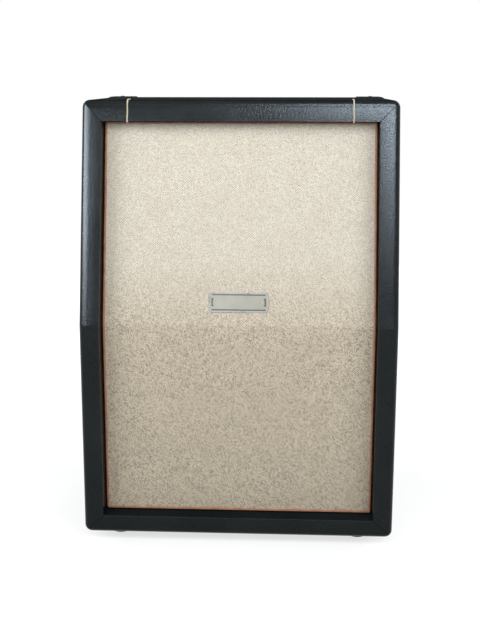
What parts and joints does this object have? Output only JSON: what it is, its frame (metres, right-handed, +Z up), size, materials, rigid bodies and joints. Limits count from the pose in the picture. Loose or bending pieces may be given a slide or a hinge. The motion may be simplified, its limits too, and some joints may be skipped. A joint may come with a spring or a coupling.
{
  "type": "guitar speaker cabinet",
  "caption": "Upright guitar speaker cabinet with a bent front: grained black covering, recessed beige grille cloth with tan piping, side handles, rear jack and working drivers inside.",
  "frame": {"origin": "on the floor under the middle of the box", "axes": "+X to the right seen from the front, +Y from the front to the back, +Z up"},
  "size_m": [0.518, 0.3666, 0.7266],
  "materials": {
    "plywood": "sanded birch plywood",
    "leathercloth": "grained black leathercloth",
    "grille_cloth": "flecked beige woven cloth",
    "tan_piping": "copper brown vinyl cord",
    "cream_piping": "cream vinyl cord",
    "badge_metal": "satin aluminium",
    "bright_steel": "zinc plated",
    "black_plastic": "moulded, lightly textured",
    "black_metal": "black powder coat",
    "foot_rubber": "matt black",
    "frame_paint": "black painted pressed steel",
    "cone_paper": "grey black pressed paper",
    "treated_cloth": "doped woven cloth",
    "coil_copper": "lacquered copper wire",
    "ferrite": "dark sintered ferrite",
    "plated_steel": "zinc plated plate",
    "gasket_board": "pressed fibre board",
    "lead_rubber": "black insulated twin lead"
  },
  "bodies": {
    "cabinet": {"top_panel": "plywood", "bottom_panel": "plywood", "side_panel_left": "plywood", "side_panel_right": "plywood", "front_trim": "plywood", "baffle_cleats": "plywood", "bend_battens": "plywood", "back_cleats": "plywood", "back_panel": "plywood", "baffle_upper": "plywood", "baffle_lower": "plywood", "cabinet_covering": "leathercloth", "back_covering": "leathercloth", "grille_cloth": "grille_cloth", "grille_piping": "tan_piping", "top_piping_left": "cream_piping", "top_piping_right": "cream_piping", "badge_plate": "badge_metal", "badge_pins": "bright_steel", "corner_lower_left": "black_plastic", "corner_lower_right": "black_plastic", "corner_upper_left": "black_plastic", "corner_upper_right": "black_plastic", "foot_front_left": "foot_rubber", "foot_front_right": "foot_rubber", "foot_rear_left": "foot_rubber", "foot_rear_right": "foot_rubber", "handle_cup_left": "black_plastic", "handle_grip_left": "black_metal", "handle_cup_right": "black_plastic", "handle_grip_right": "black_metal", "jack_plate": "black_metal", "jack_socket": "black_plastic", "jack_nut": "bright_steel", "trim_screws": "black_metal", "back_screws": "bright_steel", "foot_screws": "bright_steel", "basket_lower": "frame_paint", "cone_edge_lower": "treated_cloth", "spider_lower": "treated_cloth", "magnet_lower": "ferrite", "pole_plate_lower": "plated_steel", "basket_upper": "frame_paint", "cone_edge_upper": "treated_cloth", "spider_upper": "treated_cloth", "magnet_upper": "ferrite", "pole_plate_upper": "plated_steel", "speaker_front_plates": "plated_steel", "speaker_gaskets": "gasket_board", "terminal_strips": "gasket_board", "speaker_bolts": "bright_steel", "speaker_nuts": "bright_steel", "speaker_leads": "lead_rubber", "lead_clips": "black_plastic"},
    "upper_cone": {"cone_upper": "cone_paper", "dust_cap_upper": "cone_paper", "voice_coil_upper": "coil_copper"},
    "lower_cone": {"cone_lower": "cone_paper", "dust_cap_lower": "cone_paper", "voice_coil_lower": "coil_copper"}
  },
  "joints": [
    {"name": "upper_cone_travel", "type": "slide", "parent": "cabinet", "child": "upper_cone", "axis": [0, -0.9744, 0.225], "range_m": [-0.003, 0.003], "stiffness_N_per_m": 5000, "deforming": ["cone_edge_upper", "spider_upper"]},
    {"name": "lower_cone_travel", "type": "slide", "parent": "cabinet", "child": "lower_cone", "axis": [0, -1, 0], "range_m": [-0.003, 0.003], "stiffness_N_per_m": 5000, "deforming": ["cone_edge_lower", "spider_lower"]}
  ]
}
